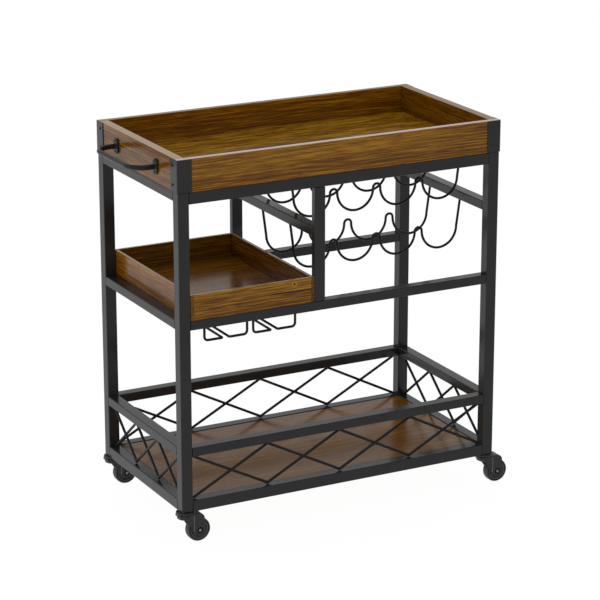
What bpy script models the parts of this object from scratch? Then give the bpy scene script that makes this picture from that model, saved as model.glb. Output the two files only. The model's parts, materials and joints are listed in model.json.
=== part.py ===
"""Bar cart on wheels: a welded tube frame on four swivel casters, with a lift-off serving tray on top,
a small pull-out tray, a wire wine rack, two stem-glass racks and a fenced bottom shelf.

Run with: blender --background --python part.py
Frame: metres, +Z up. X is the length, Y the depth with the front at -Y, origin on the floor
under the middle of the cart. Sizes below are in millimetres and mm() turns them into metres.
"""

import math

import bmesh
import bpy
from mathutils import Matrix, Vector

# ---- driving dimensions, millimetres ----------------------------------------------------------
LENGTH = 760.0  # over the posts, along X
DEPTH = 400.0  # over the posts, along Y
HEIGHT = 830.0  # floor to the top tray's rim
CASTER_HEIGHT = 70.0  # floor to the posts' lower ends
GAP = 0.3  # clearance left between pieces that touch

POST = 25.0  # square post, outside
TUBE_WALL = 1.2
TUBE_CORNER = 2.5  # outside corner radius of every tube
RAIL = 25.0  # depth of every rail, across its length
TALL_RAIL = 25.0  # front and back top rails, and the bottom rails
LOW_RAIL = 20.0  # all the other rails
DIVIDER_DEPTH = 15.0

TRAY_HEIGHT = 70.0
TRAY_LONG_WALL = 13.5  # boards at the front and the back
TRAY_END_WALL = 20.0  # boards that carry the handles
TRAY_FLOOR = 12.0
MID_RAIL_BOTTOM = 468.0
GUARD_RAIL_BOTTOM = 192.0
WINE_RAIL_BOTTOM = 628.0
DIVIDER_X = -55.0  # centre of the dividers and of the left wine rail

BRACKET_FLANGE = 33.0
BRACKET_SHEET = 1.5

HANDLE_SPREAD = 196.0  # between the two feet
HANDLE_REACH = 53.0  # how far the bar's middle line stands out from the tray's wall
HANDLE_BAR = 11.0
HANDLE_BEND = 36.0
HANDLE_ROOT = 1.0  # the bar's ends sit this deep in its feet
HANDLE_FOOT = (22.0, 33.0, 4.0)  # width, height, thickness

SMALL_TRAY_HEIGHT = 55.0
SMALL_TRAY_WALL = 7.0
SMALL_TRAY_FLOOR = 6.0
SMALL_TRAY_DEPTH = 385.0

WIRE = 5.5  # wine rack and stem rack wire
WINE_WIRE_Y = 64.0  # the wires lie in two planes, at plus and minus this
WINE_CRADLES = 4
WINE_PEAK_RADIUS = 8.75
WINE_DROP = 63.0  # rail underside to the centres of the cradles' arcs

STEM_UNIT_WIDTH = 98.5
STEM_UNIT_PITCH = 112.5
STEM_RACK_X = -213.0  # middle of the two units
STEM_SLOT = 15.5  # between the wires of a unit, centre to centre
STEM_DROP = 30.0
STEM_BENDS = (8.0, 3.0, 6.0, 5.0)  # from the front rail to the back rail

LATTICE_ROD = 6.0
LATTICE_END_GAP = 8.0  # from a post to the first bend
LATTICE_CELLS_LONG = 4
LATTICE_CELLS_SHORT = 3
LATTICE_BEND = 6.0
LATTICE_STAGGER = 0.6  # how far the two rods lie apart across the fence, in rod radii

SHELF_THICKNESS = 15.0
SHELF_BELOW_RAIL = 1.0
SHELF_MARGIN = 1.5

WHEEL_RADIUS = 26.0
WHEEL_WIDTH = 19.0
WHEEL_SEGMENTS = 24
WHEEL_SHOULDER = (2.0, 3.5)  # the tread's rounding: towards the hub, and across
WHEEL_RIM = 7.0  # tread to the dished side
WHEEL_HUB = 7.0
WHEEL_DISH = 2.5
TRAIL = 28.0  # swivel axis to axle
AXLE_RADIUS = 3.0
AXLE_HEAD = (3.6, 1.0)  # radius, and how far it stands out of the fork
AXLE_CLEARANCE = 0.3
KINGPIN_RADIUS = 4.0
KINGPIN_TOP = 88.0
CUP_RADIUS = 20.5
CUP_THICKNESS = 4.5
STEM_RADIUS = 10.5
STEM_LENGTH = 24.0
STEM_CHAMFER = 1.5
FORK_WIDTH = 26.0
FORK_LEG = 2.4
FORK_BOSS = 11.0  # round end of the legs, round the axle
FORK_THROAT = ((6.5, 25.0), (9.5, 33.0), (11.0, 41.0), (14.0, 48.0))  # front edge of the legs: out, down
HOOD_BRIM = 17.5  # how far the hood reaches ahead of the swivel axis
HOOD_DEPTH = 5.0  # thickness of that brim
HOOD_ROUND = 13.0  # radius over the wheel's back
CROWN_RADIUS = 18.0
CROWN_CHAMFER = 1.5
SLOT_TOP = 54.0  # the wheel's slot, from the floor

# ---- derived positions ------------------------------------------------------------------------
RAIL_TOP = HEIGHT - TRAY_HEIGHT
POST_X = LENGTH / 2 - POST / 2
POST_Y = DEPTH / 2 - POST / 2
INNER_X = LENGTH / 2 - POST
INNER_Y = DEPTH / 2 - POST
MID_RAIL_TOP = MID_RAIL_BOTTOM + LOW_RAIL
BOTTOM_RAIL_TOP = CASTER_HEIGHT + TALL_RAIL
CUP_TOP = CASTER_HEIGHT - GAP
CUP_UNDER = CUP_TOP - CUP_THICKNESS
CROWN_TOP = CUP_UNDER - GAP

SIDES = {"left": -1, "right": 1}
ENDS = {"front": -1, "back": 1}


def mm(value):
    return value / 1000.0


def point(x, y, z):
    return Vector((mm(x), mm(y), mm(z)))


# ---- materials --------------------------------------------------------------------------------
def material(name, colour, roughness, metallic=0.0):
    made = bpy.data.materials.new(name)
    made.use_nodes = True
    shader = made.node_tree.nodes["Principled BSDF"]
    shader.inputs["Base Color"].default_value = (*colour, 1.0)
    shader.inputs["Roughness"].default_value = roughness
    shader.inputs["Metallic"].default_value = metallic
    made.diffuse_color = (*colour, 1.0)
    return made


def make_materials():
    return {
        "black_steel": material("black_steel", (0.035, 0.035, 0.037), 0.45, 0.3),
        "walnut": material("walnut", (0.20, 0.095, 0.035), 0.45),
        "black_wire": material("black_wire", (0.012, 0.012, 0.012), 0.4, 0.3),
        "caster_plastic": material("caster_plastic", (0.03, 0.03, 0.032), 0.4),
        "wheel_tread": material("wheel_tread", (0.02, 0.02, 0.02), 0.55),
    }


# ---- mesh helpers -----------------------------------------------------------------------------
def finish(name, mesh_data, look, parent=None):
    """Turns a bmesh into a named object with its faces outward and its round faces smooth."""
    bmesh.ops.recalc_face_normals(mesh_data, faces=mesh_data.faces[:])
    mesh = bpy.data.meshes.new(name)
    mesh_data.to_mesh(mesh)
    mesh_data.free()
    mesh.shade_smooth()
    mesh.set_sharp_from_angle(angle=math.radians(35))
    mesh.materials.append(look)
    made = bpy.data.objects.new(name, mesh)
    bpy.context.scene.collection.objects.link(made)
    if parent is not None:
        made.parent = parent
        made.matrix_parent_inverse = parent.matrix_world.inverted()
    return made


def axis_empty(name, x, y, z):
    made = bpy.data.objects.new(name, None)
    made.location = point(x, y, z)
    bpy.context.scene.collection.objects.link(made)
    bpy.context.view_layer.update()
    return made


def add_box(target, low, high):
    """Adds a closed box between two corners, in millimetres."""
    centre = point(*[(a + b) / 2 for a, b in zip(low, high)])
    size = [mm(b - a) for a, b in zip(low, high)]
    bmesh.ops.create_cube(target, size=1.0, matrix=Matrix.Translation(centre) @ Matrix.Diagonal((*size, 1.0)))


def rounded_rectangle(width, height, radius, steps=2):
    """Corner-rounded outline round the origin, counter-clockwise, in millimetres."""
    outline = []
    for quarter, (sx, sy) in enumerate(((1, 1), (-1, 1), (-1, -1), (1, -1))):
        cx = sx * (width / 2 - radius)
        cy = sy * (height / 2 - radius)
        for step in range(steps + 1):
            angle = math.radians(90 * (quarter + step / steps))
            outline.append((cx + radius * math.cos(angle), cy + radius * math.sin(angle)))
    return outline


def axis_frame(axis):
    """Two unit vectors across an axis: the outline's first and second directions."""
    return {
        "x": (Vector((0, 1, 0)), Vector((0, 0, 1)), Vector((1, 0, 0))),
        "y": (Vector((1, 0, 0)), Vector((0, 0, 1)), Vector((0, 1, 0))),
        "z": (Vector((1, 0, 0)), Vector((0, 1, 0)), Vector((0, 0, 1))),
    }[axis]


def add_ring_prism(target, outer, inner, axis, start, end, centre):
    """Adds a hollow prism, open at both ends, between two outlines with equal numbers of points."""
    first, second, along = axis_frame(axis)
    rings = []
    for outline in (outer, inner):
        for place in (start, end):
            rings.append([
                target.verts.new(point(*centre) + first * mm(a) + second * mm(b) + along * mm(place))
                for a, b in outline
            ])
    outer_start, outer_end, inner_start, inner_end = rings
    count = len(outer)
    for low, high in ((outer_start, outer_end), (inner_end, inner_start),
                      (inner_start, outer_start), (outer_end, inner_end)):
        for i in range(count):
            j = (i + 1) % count
            target.faces.new((low[i], low[j], high[j], high[i]))


def add_prism(target, outline, axis, start, end, centre=(0, 0, 0)):
    """Adds a closed solid prism of an outline between two places along an axis."""
    first, second, along = axis_frame(axis)
    rings = [
        [target.verts.new(point(*centre) + first * mm(a) + second * mm(b) + along * mm(place)) for a, b in outline]
        for place in (start, end)
    ]
    count = len(outline)
    for i in range(count):
        j = (i + 1) % count
        target.faces.new((rings[0][i], rings[0][j], rings[1][j], rings[1][i]))
    target.faces.new(rings[0][::-1])
    target.faces.new(rings[1])


def add_turned(target, profile, centre, axis="z", segments=24):
    """Adds a ring turned about an axis through centre from a closed profile of (radius, place) pairs.
    Its flats, not its corners, face along the axis frame's two directions."""
    first, second, along = axis_frame(axis)
    rings = []
    for step in range(segments):
        angle = 2 * math.pi * (step + 0.5) / segments
        across = first * math.cos(angle) + second * math.sin(angle)
        rings.append([target.verts.new(point(*centre) + across * mm(r) + along * mm(h)) for r, h in profile])
    count = len(profile)
    for s in range(segments):
        here, there = rings[s], rings[(s + 1) % segments]
        for i in range(count):
            j = (i + 1) % count
            target.faces.new((here[i], there[i], there[j], here[j]))


def rounded_path(corners, radii, steps=4):
    """A path through corner points whose bends are arcs of the given radii, in millimetres."""
    path = [Vector(corners[0])]
    for before, corner, after, radius in zip(corners, corners[1:], corners[2:], radii):
        corner = Vector(corner)
        back = (Vector(before) - corner).normalized()
        ahead = (Vector(after) - corner).normalized()
        half = back.angle(ahead) / 2
        centre = corner + (back + ahead).normalized() * (radius / math.sin(half))
        start = corner + back * (radius / math.tan(half)) - centre
        end = corner + ahead * (radius / math.tan(half)) - centre
        turn = start.angle(end)
        for step in range(steps + 1):
            share = step / steps
            blend = start * math.sin((1 - share) * turn) + end * math.sin(share * turn)
            path.append(centre + blend / math.sin(turn))
    path.append(Vector(corners[-1]))
    return path


def add_rod(target, path, radius, sides=6):
    """Adds a solid rod with flat ends that follows a path of points, in millimetres."""
    count = len(path)
    tangents = []
    for i in range(count):
        before = path[max(i - 1, 0)]
        after = path[min(i + 1, count - 1)]
        tangents.append((after - before).normalized())
    side = tangents[0].orthogonal().normalized()
    rings = []
    for i, place in enumerate(path):
        if i:
            side = tangents[i - 1].rotation_difference(tangents[i]) @ side
        side = (side - tangents[i] * side.dot(tangents[i])).normalized()
        other = tangents[i].cross(side)
        ring = []
        for k in range(sides):
            angle = 2 * math.pi * (k + 0.5) / sides
            spot = place + (side * math.cos(angle) + other * math.sin(angle)) * radius
            ring.append(target.verts.new(spot / 1000.0))
        rings.append(ring)
    for near, far in zip(rings, rings[1:]):
        for k in range(sides):
            m = (k + 1) % sides
            target.faces.new((near[k], near[m], far[m], far[k]))
    target.faces.new(rings[0][::-1])
    target.faces.new(rings[-1])


def make_cutter(name, mesh_data):
    mesh = bpy.data.meshes.new(name)
    bmesh.ops.recalc_face_normals(mesh_data, faces=mesh_data.faces[:])
    mesh_data.to_mesh(mesh)
    mesh_data.free()
    cutter = bpy.data.objects.new(name, mesh)
    cutter.hide_render = True
    cutter.display_type = "WIRE"
    bpy.context.scene.collection.objects.link(cutter)
    return cutter


def combine(body, tool, operation):
    """Adds an exact Boolean of tool to body."""
    step = body.modifiers.new(f"{operation.lower()}_{tool.name}", "BOOLEAN")
    step.operation = operation
    step.object = tool
    step.solver = "EXACT"


# ---- frame ------------------------------------------------------------------------------------
def tube(name, axis, start, end, centre, width, height, look):
    """A rectangular tube with open ends: width is its first cross direction, height its second."""
    mesh_data = bmesh.new()
    outer = rounded_rectangle(width, height, TUBE_CORNER)
    inner = rounded_rectangle(width - 2 * TUBE_WALL, height - 2 * TUBE_WALL, TUBE_CORNER - TUBE_WALL)
    add_ring_prism(mesh_data, outer, inner, axis, start, end, centre)
    return finish(name, mesh_data, look)


def long_rail(name, end, bottom, height, look):
    reach = INNER_X - GAP
    centre = (0, ENDS[end] * POST_Y, bottom + height / 2)
    return tube(name, "x", -reach, reach, centre, RAIL, height, look)


def side_rail(name, x, bottom, height, reach, look):
    return tube(name, "y", -reach, reach, (x, 0, bottom + height / 2), RAIL, height, look)


def make_posts(look):
    for end, sy in ENDS.items():
        for side, sx in SIDES.items():
            tube(f"post_{end}_{side}", "z", CASTER_HEIGHT, RAIL_TOP, (sx * POST_X, sy * POST_Y, 0), POST, POST, look)


def make_rails(look):
    reach = INNER_Y - GAP
    for end in ENDS:
        long_rail(f"top_rail_{end}", end, RAIL_TOP - TALL_RAIL, TALL_RAIL, look)
        long_rail(f"mid_rail_{end}", end, MID_RAIL_BOTTOM, LOW_RAIL, look)
        long_rail(f"guard_rail_{end}", end, GUARD_RAIL_BOTTOM, LOW_RAIL, look)
        long_rail(f"bottom_rail_{end}", end, CASTER_HEIGHT, TALL_RAIL, look)
    for side, sx in SIDES.items():
        side_rail(f"top_rail_{side}", sx * POST_X, RAIL_TOP - LOW_RAIL, LOW_RAIL, reach, look)
        side_rail(f"guard_rail_{side}", sx * POST_X, GUARD_RAIL_BOTTOM, LOW_RAIL, reach, look)
        side_rail(f"bottom_rail_{side}", sx * POST_X, CASTER_HEIGHT, TALL_RAIL, reach, look)
    side_rail("mid_rail_left", -POST_X, MID_RAIL_BOTTOM, LOW_RAIL, reach, look)
    side_rail("top_cross_rail", DIVIDER_X, RAIL_TOP - LOW_RAIL, LOW_RAIL, reach, look)
    side_rail("wine_rail_right", POST_X, WINE_RAIL_BOTTOM, LOW_RAIL, reach, look)
    divider_face = DEPTH / 2 - DIVIDER_DEPTH
    side_rail("wine_rail_left", DIVIDER_X, WINE_RAIL_BOTTOM, LOW_RAIL, divider_face - GAP, look)


def make_dividers(look):
    for end, sy in ENDS.items():
        centre = (DIVIDER_X, sy * (DEPTH / 2 - DIVIDER_DEPTH / 2), 0)
        tube(f"divider_{end}", "z", MID_RAIL_TOP + GAP, RAIL_TOP - TALL_RAIL - GAP, centre, POST, DIVIDER_DEPTH, look)


def zigzag(half_span, cells, low, high, start_low):
    """Corner points of a zigzag rod as (along, up) pairs: one corner for each cell boundary."""
    pitch = 2 * half_span / cells
    corners = []
    for i in range(cells + 1):
        is_low = (i % 2 == 0) == start_low
        corners.append((-half_span + i * pitch, low if is_low else high))
    return corners


def make_lattice(name, axis, place, half_bay, cells, look):
    """Two zigzag rods, mirrored and welded where they cross, between the bottom and the guard rail."""
    radius = LATTICE_ROD / 2
    low = BOTTOM_RAIL_TOP + GAP + radius
    high = GUARD_RAIL_BOTTOM - GAP - radius
    rods = []
    for number, start_low in enumerate((True, False)):
        corners = zigzag(half_bay - LATTICE_END_GAP, cells, low, high, start_low)
        offset = (number - 0.5) * radius * LATTICE_STAGGER
        if axis == "x":
            spots = [(a, place + offset, b) for a, b in corners]
        else:
            spots = [(place + offset, a, b) for a, b in corners]
        mesh_data = bmesh.new()
        add_rod(mesh_data, rounded_path(spots, [LATTICE_BEND] * (len(spots) - 2), steps=3), radius)
        rods.append(mesh_data)
    second = make_cutter(f"{name}_second_rod", rods[1])
    lattice = finish(name, rods[0], look)
    combine(lattice, second, "UNION")


def make_lattices(look):
    for end, sy in ENDS.items():
        make_lattice(f"lattice_{end}", "x", sy * POST_Y, INNER_X, LATTICE_CELLS_LONG, look)
    for side, sx in SIDES.items():
        make_lattice(f"lattice_{side}", "y", sx * POST_X, INNER_Y, LATTICE_CELLS_SHORT, look)


def make_shelf(look):
    top = BOTTOM_RAIL_TOP - SHELF_BELOW_RAIL
    half_x = INNER_X - SHELF_MARGIN
    half_y = INNER_Y - SHELF_MARGIN
    mesh_data = bmesh.new()
    add_box(mesh_data, (-half_x, -half_y, top - SHELF_THICKNESS), (half_x, half_y, top))
    finish("bottom_shelf", mesh_data, look)


# ---- wire racks -------------------------------------------------------------------------------
def wine_wire_path(y, rail_bottom):
    """Down from the left rail, through the cradles and the peaks between them, and up to the right rail."""
    start = DIVIDER_X
    end = POST_X
    pitch = (end - start) / WINE_CRADLES
    cradle_radius = pitch / 2 - WINE_PEAK_RADIUS
    middle = rail_bottom - WINE_DROP
    top = rail_bottom - 2 * GAP  # the wire comes up at a slant, so its end's edge is higher
    path = [Vector((start, y, top))]
    for cradle in range(WINE_CRADLES):
        centre = start + (cradle + 0.5) * pitch
        path += arc_points(centre, y, middle, cradle_radius, 180, 360, 8)
        if cradle < WINE_CRADLES - 1:
            path += arc_points(centre + pitch / 2, y, middle, WINE_PEAK_RADIUS, 180, 0, 5)[1:-1]
    path.append(Vector((end, y, top)))
    return path


def arc_points(x, y, z, radius, first, last, steps):
    """Points on an arc in an XZ plane, angles in degrees from +X towards +Z."""
    spots = []
    for step in range(steps + 1):
        angle = math.radians(first + (last - first) * step / steps)
        spots.append(Vector((x + radius * math.cos(angle), y, z + radius * math.sin(angle))))
    return spots


def make_wine_wires(look):
    levels = {"lower": WINE_RAIL_BOTTOM, "upper": RAIL_TOP - LOW_RAIL}
    for level, rail_bottom in levels.items():
        for end, sy in ENDS.items():
            mesh_data = bmesh.new()
            add_rod(mesh_data, wine_wire_path(sy * WINE_WIRE_Y, rail_bottom), WIRE / 2)
            finish(f"wine_wire_{level}_{end}", mesh_data, look)


def make_stem_racks(look):
    """One bent wire for each unit: it hangs from the front rail, leaves an open slot for the
    glasses' stems, and closes against the underside of the back rail."""
    top = MID_RAIL_BOTTOM - GAP
    low = MID_RAIL_BOTTOM - STEM_DROP
    back_high = MID_RAIL_BOTTOM - GAP - WIRE / 2
    for side, sx in SIDES.items():
        middle = STEM_RACK_X + sx * STEM_UNIT_PITCH / 2
        outer = STEM_UNIT_WIDTH / 2
        inner = STEM_SLOT / 2
        corners = [
            (middle - outer, -POST_Y, top),
            (middle - outer, -POST_Y, low),
            (middle - inner, -POST_Y, low),
            (middle - inner, POST_Y, low),
            (middle - inner, POST_Y, back_high),
            (middle + inner, POST_Y, back_high),
            (middle + inner, POST_Y, low),
            (middle + inner, -POST_Y, low),
            (middle + outer, -POST_Y, low),
            (middle + outer, -POST_Y, top),
        ]
        mesh_data = bmesh.new()
        bends = STEM_BENDS + STEM_BENDS[::-1]
        add_rod(mesh_data, rounded_path(corners, bends, steps=3), WIRE / 2)
        finish(f"stem_rack_{side}", mesh_data, look)


# ---- top tray ---------------------------------------------------------------------------------
def make_top_tray(wood, steel, parent):
    bottom = RAIL_TOP + GAP
    half_x = LENGTH / 2
    half_y = DEPTH / 2
    inner_x = half_x - TRAY_END_WALL
    inner_y = half_y - TRAY_LONG_WALL
    for end, sy in ENDS.items():
        mesh_data = bmesh.new()
        near, far = sorted((sy * inner_y, sy * half_y))
        add_box(mesh_data, (-half_x, near, bottom), (half_x, far, HEIGHT))
        finish(f"tray_wall_{end}", mesh_data, wood, parent)
    for side, sx in SIDES.items():
        mesh_data = bmesh.new()
        near, far = sorted((sx * inner_x, sx * half_x))
        add_box(mesh_data, (near, -inner_y + GAP, bottom), (far, inner_y - GAP, HEIGHT))
        finish(f"tray_wall_{side}", mesh_data, wood, parent)
    mesh_data = bmesh.new()
    low = (-inner_x + GAP, -inner_y + GAP, bottom)
    high = (inner_x - GAP, inner_y - GAP, bottom + TRAY_FLOOR)
    add_box(mesh_data, low, high)
    finish("tray_floor", mesh_data, wood, parent)
    for end, sy in ENDS.items():
        for side, sx in SIDES.items():
            make_bracket(f"corner_bracket_{end}_{side}", sx, sy, steel, parent)
    for side, sx in SIDES.items():
        make_handle(f"handle_{side}", sx, steel, parent)


def make_bracket(name, sx, sy, look, parent):
    """An L of sheet round one corner of the tray, level with its rim."""
    x_in = LENGTH / 2 + GAP
    y_in = DEPTH / 2 + GAP
    x_out = x_in + BRACKET_SHEET
    y_out = y_in + BRACKET_SHEET
    x_end = x_out - BRACKET_FLANGE
    y_end = y_out - BRACKET_FLANGE
    corner = 1.0
    outline = [(x_end, y_in), (x_in, y_in), (x_in, y_end), (x_out, y_end), (x_out, y_out - corner),
               (x_out - corner, y_out), (x_end, y_out)]
    mesh_data = bmesh.new()
    add_prism(mesh_data, [(sx * a, sy * b) for a, b in outline], "z", RAIL_TOP + 2 * GAP, HEIGHT - GAP)
    finish(name, mesh_data, look, parent)


def make_handle(name, sx, look, parent):
    """A round bar bent to a wide U between two oval feet, screwed to the tray's end wall."""
    width, height, thickness = HANDLE_FOOT
    foot_z = RAIL_TOP + TRAY_HEIGHT / 2
    wall = LENGTH / 2 + GAP
    reach = wall + HANDLE_REACH
    half = HANDLE_SPREAD / 2
    corners = [
        (sx * (wall + HANDLE_ROOT), -half, foot_z),
        (sx * reach, -half, foot_z),
        (sx * reach, half, foot_z),
        (sx * (wall + HANDLE_ROOT), half, foot_z),
    ]
    mesh_data = bmesh.new()
    add_rod(mesh_data, rounded_path(corners, [HANDLE_BEND, HANDLE_BEND], steps=6), HANDLE_BAR / 2, sides=8)
    handle = finish(name, mesh_data, look, parent)
    oval = rounded_rectangle(width, height, width / 2 - 0.01, steps=4)
    start, end = sorted((sx * wall, sx * (wall + thickness)))
    for end_name, sy in ENDS.items():
        foot_data = bmesh.new()
        add_prism(foot_data, oval, "x", start, end, (0, sy * half, foot_z))
        combine(handle, make_cutter(f"{name}_foot_{end_name}", foot_data), "UNION")


# ---- small pull-out tray ----------------------------------------------------------------------
def make_small_tray(wood, parent):
    side_gap = 0.7
    left = -INNER_X + side_gap
    right = DIVIDER_X - POST / 2 - side_gap
    front = -DEPTH / 2
    back = front + SMALL_TRAY_DEPTH
    bottom = MID_RAIL_TOP + GAP
    middle = ((left + right) / 2, (front + back) / 2, 0)
    wall = SMALL_TRAY_WALL

    def rectangle(inset):
        a = (right - left) / 2 - inset
        b = (back - front) / 2 - inset
        return [(-a, -b), (a, -b), (a, b), (-a, b)]

    walls = bmesh.new()
    add_ring_prism(walls, rectangle(0), rectangle(wall), "z", bottom, bottom + SMALL_TRAY_HEIGHT, middle)
    finish("small_tray_walls", walls, wood, parent)
    floor = bmesh.new()
    add_prism(floor, rectangle(wall + GAP), "z", bottom, bottom + SMALL_TRAY_FLOOR, middle)
    finish("small_tray_floor", floor, wood, parent)


# ---- casters ----------------------------------------------------------------------------------
def make_caster_mount(name, x, y, look):
    """A round plate under the post with a stem pressed up into it, bored for the kingpin."""
    bore = KINGPIN_RADIUS + AXLE_CLEARANCE
    stem_top = CUP_TOP + STEM_LENGTH
    profile = [
        (bore, CUP_UNDER), (CUP_RADIUS - 4, CUP_UNDER), (CUP_RADIUS - 1, CUP_UNDER + 1.2),
        (CUP_RADIUS, CUP_UNDER + 2.8), (CUP_RADIUS - 1, CUP_TOP), (STEM_RADIUS, CUP_TOP),
        (STEM_RADIUS, stem_top - STEM_CHAMFER), (STEM_RADIUS - STEM_CHAMFER, stem_top), (bore, stem_top),
    ]
    mesh_data = bmesh.new()
    add_turned(mesh_data, profile, (x, y, 0), segments=20)
    finish(name, mesh_data, look)


def arc(centre, radius, first, last, steps):
    """Points on an arc in a plane, angles in degrees."""
    spots = []
    for step in range(steps + 1):
        angle = math.radians(first + (last - first) * step / steps)
        spots.append((centre[0] + radius * math.cos(angle), centre[1] + radius * math.sin(angle)))
    return spots


def fork_outline():
    """Side view of the fork as (x, z) from the swivel axis: a brim ahead of the axis, a hood over the
    wheel with a round back, and legs that end round the axle."""
    top = CROWN_TOP - 0.5
    back = TRAIL + FORK_BOSS
    brim = [(-HOOD_BRIM, top), (-HOOD_BRIM, top - HOOD_DEPTH)]
    throat = [(out, top - down) for out, down in FORK_THROAT]
    boss = arc((TRAIL, WHEEL_RADIUS), FORK_BOSS, 220, 360, 6)
    hood = arc((back - HOOD_ROUND, top - HOOD_ROUND), HOOD_ROUND, 0, 90, 4)
    return brim + throat + boss + hood


def make_fork(name, x, y, look, parent):
    """The swivelling fork: hood, two legs, the axle riveted between them and the kingpin on top."""
    half = FORK_WIDTH / 2
    body = bmesh.new()
    add_prism(body, fork_outline(), "y", -half, half, (x, y, 0))
    fork = finish(name, body, look, parent)

    slot = bmesh.new()
    leg_face = half - FORK_LEG
    past = 2 * WHEEL_RADIUS + TRAIL
    add_box(slot, (x - past, y - leg_face, -GAP), (x + past, y + leg_face, SLOT_TOP))
    combine(fork, make_cutter(f"{name}_slot", slot), "DIFFERENCE")

    crown = bmesh.new()
    add_turned_solid(crown, [(CROWN_RADIUS, SLOT_TOP + 1.0), (CROWN_RADIUS, CROWN_TOP - 1.0),
                             (CROWN_RADIUS - CROWN_CHAMFER, CROWN_TOP), (KINGPIN_RADIUS, CROWN_TOP),
                             (KINGPIN_RADIUS, KINGPIN_TOP)], (x, y, 0), "z", 20)
    combine(fork, make_cutter(f"{name}_crown", crown), "UNION")

    axle = bmesh.new()
    radius, stand = AXLE_HEAD
    head = half + stand
    seat = half - 0.4
    add_turned_solid(axle, [(radius - 1.4, -head), (radius, -head + 1.0), (radius, -seat), (AXLE_RADIUS, -seat),
                            (AXLE_RADIUS, seat), (radius, seat), (radius, head - 1.0), (radius - 1.4, head)],
                     (x + TRAIL, y, WHEEL_RADIUS), "y", 14)
    combine(fork, make_cutter(f"{name}_axle", axle), "UNION")


def add_turned_solid(target, profile, centre, axis, segments):
    """Adds a solid turned about an axis from an open profile, closed with flat discs at both ends."""
    first, second, along = axis_frame(axis)
    rings = []
    for r, h in profile:
        ring = []
        for step in range(segments):
            angle = 2 * math.pi * step / segments
            across = first * math.cos(angle) + second * math.sin(angle)
            ring.append(target.verts.new(point(*centre) + across * mm(r) + along * mm(h)))
        rings.append(ring)
    for near, far in zip(rings, rings[1:]):
        for k in range(segments):
            m = (k + 1) % segments
            target.faces.new((near[k], near[m], far[m], far[k]))
    target.faces.new(rings[0][::-1])
    target.faces.new(rings[-1])


def make_wheel(name, x, y, look, parent):
    """A wheel with a round-shouldered tread and a dished hub, bored for the axle."""
    half = WHEEL_WIDTH / 2
    bore = AXLE_RADIUS + AXLE_CLEARANCE
    r = WHEEL_RADIUS / math.cos(math.pi / WHEEL_SEGMENTS)  # so that a flat of the tread meets the floor
    inward, across = WHEEL_SHOULDER
    dish = half - WHEEL_DISH
    near_side = [(r, -half + across), (r - inward, -half + 0.8), (r - WHEEL_RIM + 2.0, -half),
                 (r - WHEEL_RIM, -dish), (WHEEL_HUB + 1.5, -dish), (WHEEL_HUB, -half), (bore, -half)]
    profile = near_side[::-1] + [(radius, -place) for radius, place in near_side]
    mesh_data = bmesh.new()
    add_turned(mesh_data, profile, (x + TRAIL, y, WHEEL_RADIUS), axis="y", segments=WHEEL_SEGMENTS)
    finish(name, mesh_data, look, parent)


def make_casters(looks):
    for end, sy in ENDS.items():
        for side, sx in SIDES.items():
            x = sx * POST_X
            y = sy * POST_Y
            corner = f"{end}_{side}"
            make_caster_mount(f"caster_mount_{corner}", x, y, looks["caster_plastic"])
            swivel = axis_empty(f"swivel_axis_{corner}", x, y, CASTER_HEIGHT)
            make_fork(f"caster_fork_{corner}", x, y, looks["caster_plastic"], swivel)
            spin = axis_empty(f"wheel_axis_{corner}", x + TRAIL, y, WHEEL_RADIUS)
            spin.parent = swivel
            spin.matrix_parent_inverse = swivel.matrix_world.inverted()
            bpy.context.view_layer.update()
            make_wheel(f"caster_wheel_{corner}", x, y, looks["wheel_tread"], spin)


def main():
    for old in list(bpy.data.objects):
        bpy.data.objects.remove(old, do_unlink=True)
    looks = make_materials()
    steel = looks["black_steel"]
    make_posts(steel)
    make_rails(steel)
    make_dividers(steel)
    make_lattices(looks["black_wire"])
    make_shelf(looks["walnut"])
    make_wine_wires(looks["black_wire"])
    make_stem_racks(looks["black_wire"])
    top_tray = axis_empty("top_tray_slide", 0, 0, RAIL_TOP)
    make_top_tray(looks["walnut"], steel, top_tray)
    small_tray = axis_empty("small_tray_slide", (DIVIDER_X - INNER_X) / 2, 0, MID_RAIL_TOP)
    make_small_tray(looks["walnut"], small_tray)
    make_casters(looks)


main()
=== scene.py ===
"""Looks of the bar cart on wheels: rounded powder-coated tubes, walnut boards with their own grain,
smooth wires, screwed corner brackets and handles, and moulded casters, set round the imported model."""

import json
import math

import bmesh
import bpy
from mathutils import Matrix, Vector, noise


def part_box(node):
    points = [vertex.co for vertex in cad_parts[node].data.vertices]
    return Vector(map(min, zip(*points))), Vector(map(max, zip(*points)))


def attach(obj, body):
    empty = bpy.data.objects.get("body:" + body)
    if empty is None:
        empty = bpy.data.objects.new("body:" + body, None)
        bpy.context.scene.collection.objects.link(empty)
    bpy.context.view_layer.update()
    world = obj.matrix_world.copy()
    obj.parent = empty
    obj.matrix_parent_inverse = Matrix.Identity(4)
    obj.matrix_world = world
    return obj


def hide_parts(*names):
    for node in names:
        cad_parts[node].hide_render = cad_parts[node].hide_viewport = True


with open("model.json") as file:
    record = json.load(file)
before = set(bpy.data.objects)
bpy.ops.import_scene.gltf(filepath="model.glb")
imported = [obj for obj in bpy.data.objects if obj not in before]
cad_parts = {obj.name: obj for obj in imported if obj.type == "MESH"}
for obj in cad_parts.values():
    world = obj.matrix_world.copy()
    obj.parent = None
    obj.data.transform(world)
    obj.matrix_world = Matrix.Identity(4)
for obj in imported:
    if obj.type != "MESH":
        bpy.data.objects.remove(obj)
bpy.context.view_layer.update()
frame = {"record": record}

MM = 0.001

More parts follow.
